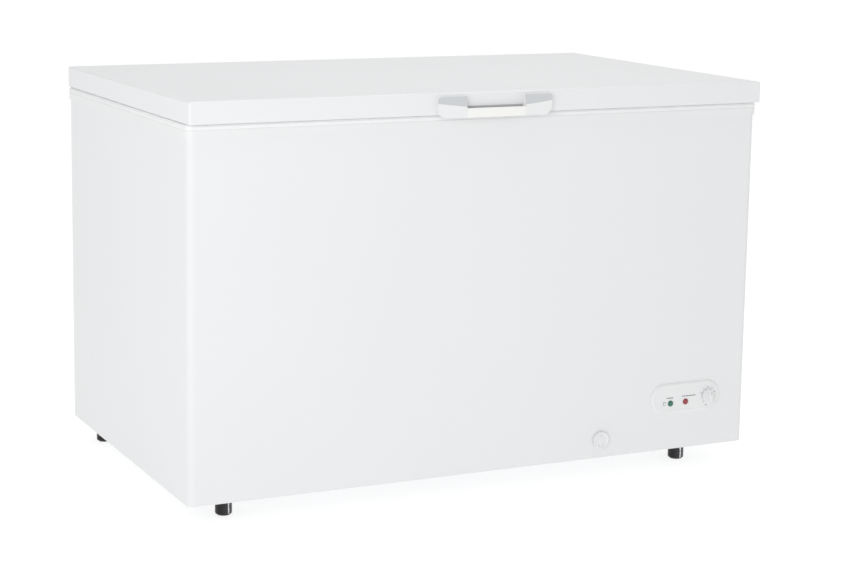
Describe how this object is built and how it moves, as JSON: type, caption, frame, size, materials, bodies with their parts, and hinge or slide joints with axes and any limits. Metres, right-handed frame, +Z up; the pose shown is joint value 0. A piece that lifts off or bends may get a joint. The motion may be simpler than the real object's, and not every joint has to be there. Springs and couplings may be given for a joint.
{
  "type": "chest freezer",
  "caption": "Low box-shaped chest freezer on short levelling feet, with a hinged foamed lid, bow handle, hanging basket, corner control panel and front drain outlet.",
  "frame": {"origin": "middle of the overall footprint, on the floor that the feet stand on", "axes": "+X to the right along the front, +Y from front to back, +Z up"},
  "size_m": [1.307, 0.8312, 0.853],
  "materials": {
    "white_painted_steel": "pre-coated gloss white sheet",
    "galvanised_steel": "zinc-coated, faint spangle",
    "liner_aluminium": "embossed lacquered aluminium",
    "white_plastic": "moulded, semi-gloss",
    "ivory_plastic": "moulded, semi-gloss",
    "grey_plastic": "moulded, satin",
    "black_plastic": "moulded, high gloss",
    "black_rubber": "matt",
    "grey_rubber": "soft PVC, matt",
    "compressor_black": "black stove enamel",
    "cast_iron": "as cast",
    "copper": "drawn copper",
    "zinc_steel": "bright zinc plated",
    "spring_steel": "oiled",
    "insulation_foam": "rigid polyurethane foam",
    "green_lens": "translucent",
    "red_lens": "translucent",
    "basket_wire": "white plastic-coated steel wire"
  },
  "bodies": {
    "cabinet": {"outer_shell": "white_painted_steel", "rear_panel": "white_painted_steel", "base_pan": "galvanised_steel", "bay_partition": "galvanised_steel", "compressor_tray": "galvanised_steel", "foot_brackets": "zinc_steel", "inner_liner": "liner_aluminium", "cabinet_foam": "insulation_foam", "condenser_coil": "copper", "evaporator_coil": "copper", "top_frame": "white_plastic", "compressor": "compressor_black", "compressor_pump": "cast_iron", "compressor_grommets": "black_rubber", "compressor_bolts": "zinc_steel", "terminal_cover": "black_plastic", "discharge_line": "copper", "suction_line": "copper", "filter_drier": "copper", "capillary_tube": "copper", "side_grille": "white_plastic", "rear_cover": "galvanised_steel", "power_cord_gland": "black_plastic", "cover_screws": "zinc_steel", "control_panel": "white_plastic", "power_lamp": "green_lens", "fault_lamp": "red_lens", "thermostat": "grey_plastic", "drain_sleeve": "white_plastic", "drain_tube": "white_plastic", "hinge_base_left": "zinc_steel", "hinge_base_right": "zinc_steel", "hinge_springs": "spring_steel", "hinge_screws": "zinc_steel"},
    "lid": {"lid_skin": "white_painted_steel", "lid_liner": "white_plastic", "lid_foam": "insulation_foam", "lid_gasket": "grey_rubber", "handle_caps": "grey_plastic", "handle_end_left": "white_plastic", "handle_end_right": "white_plastic", "handle_grip": "ivory_plastic", "hinge_arm_left": "zinc_steel", "hinge_arm_right": "zinc_steel", "hinge_pins": "zinc_steel", "lid_screws": "zinc_steel"},
    "basket": {"wire_basket": "basket_wire"},
    "thermostat_dial": {"thermostat_knob": "white_plastic", "thermostat_shaft": "zinc_steel"},
    "drain_outlet": {"drain_spout": "white_plastic"},
    "drain_selector": {"drain_dial": "white_plastic"},
    "tub_plug": {"tub_drain_plug": "grey_plastic"},
    "sole_front_left": {"foot_sole_front_left": "black_rubber"},
    "screw_front_left": {"foot_screw_front_left": "black_plastic"},
    "sole_front_right": {"foot_sole_front_right": "black_rubber"},
    "screw_front_right": {"foot_screw_front_right": "black_plastic"},
    "sole_rear_left": {"foot_sole_rear_left": "black_rubber"},
    "screw_rear_left": {"foot_screw_rear_left": "black_plastic"},
    "sole_rear_right": {"foot_sole_rear_right": "black_rubber"},
    "screw_rear_right": {"foot_screw_rear_right": "black_plastic"}
  },
  "joints": [
    {"name": "lid_hinge", "type": "hinge", "parent": "cabinet", "child": "lid", "pos_m": [0, 0.4074, 0.8], "axis": [-1, 0, 0], "range_deg": [0, 80], "stiffness_Nm_per_rad": 12, "springref_deg": 148.97},
    {"name": "basket_slide", "type": "slide", "parent": "cabinet", "child": "basket", "axis": [-1, 0, 0], "range_m": [0, 0.87]},
    {"name": "thermostat_turn", "type": "hinge", "parent": "cabinet", "child": "thermostat_dial", "pos_m": [0.553, -0.3856, 0.166], "axis": [0, 1, 0], "range_deg": [-140, 140]},
    {"name": "drain_pull", "type": "slide", "parent": "cabinet", "child": "drain_outlet", "axis": [0, -1, 0], "range_m": [0, 0.028]},
    {"name": "drain_turn", "type": "hinge", "parent": "drain_outlet", "child": "drain_selector", "pos_m": [0.284, -0.3856, 0.092], "axis": [0, 1, 0], "range_deg": [0, 180]},
    {"name": "tub_plug_lift", "type": "slide", "parent": "cabinet", "child": "tub_plug", "axis": [0, 0, 1], "range_m": [0, 0.06]},
    {"name": "rise_front_left", "type": "slide", "parent": "cabinet", "child": "sole_front_left", "axis": [0, 0, -1], "range_m": [0, 0.012]},
    {"name": "turn_front_left", "type": "hinge", "parent": "sole_front_left", "child": "screw_front_left", "pos_m": [-0.541, -0.2896, 0], "axis": [0, 0, 1], "range_deg": [0, 2880]},
    {"name": "rise_front_right", "type": "slide", "parent": "cabinet", "child": "sole_front_right", "axis": [0, 0, -1], "range_m": [0, 0.012]},
    {"name": "turn_front_right", "type": "hinge", "parent": "sole_front_right", "child": "screw_front_right", "pos_m": [0.541, -0.2896, 0], "axis": [0, 0, 1], "range_deg": [0, 2880]},
    {"name": "rise_rear_left", "type": "slide", "parent": "cabinet", "child": "sole_rear_left", "axis": [0, 0, -1], "range_m": [0, 0.012]},
    {"name": "turn_rear_left", "type": "hinge", "parent": "sole_rear_left", "child": "screw_rear_left", "pos_m": [-0.595, 0.3344, 0], "axis": [0, 0, 1], "range_deg": [0, 2880]},
    {"name": "rise_rear_right", "type": "slide", "parent": "cabinet", "child": "sole_rear_right", "axis": [0, 0, -1], "range_m": [0, 0.012]},
    {"name": "turn_rear_right", "type": "hinge", "parent": "sole_rear_right", "child": "screw_rear_right", "pos_m": [0.595, 0.3344, 0], "axis": [0, 0, 1], "range_deg": [0, 2880]}
  ],
  "couplings": [
    {"joint": "turn_front_left", "follows": "rise_front_left", "rad_per_m": 4188.8},
    {"joint": "turn_front_right", "follows": "rise_front_right", "rad_per_m": 4188.8},
    {"joint": "turn_rear_left", "follows": "rise_rear_left", "rad_per_m": 4188.8},
    {"joint": "turn_rear_right", "follows": "rise_rear_right", "rad_per_m": 4188.8}
  ]
}
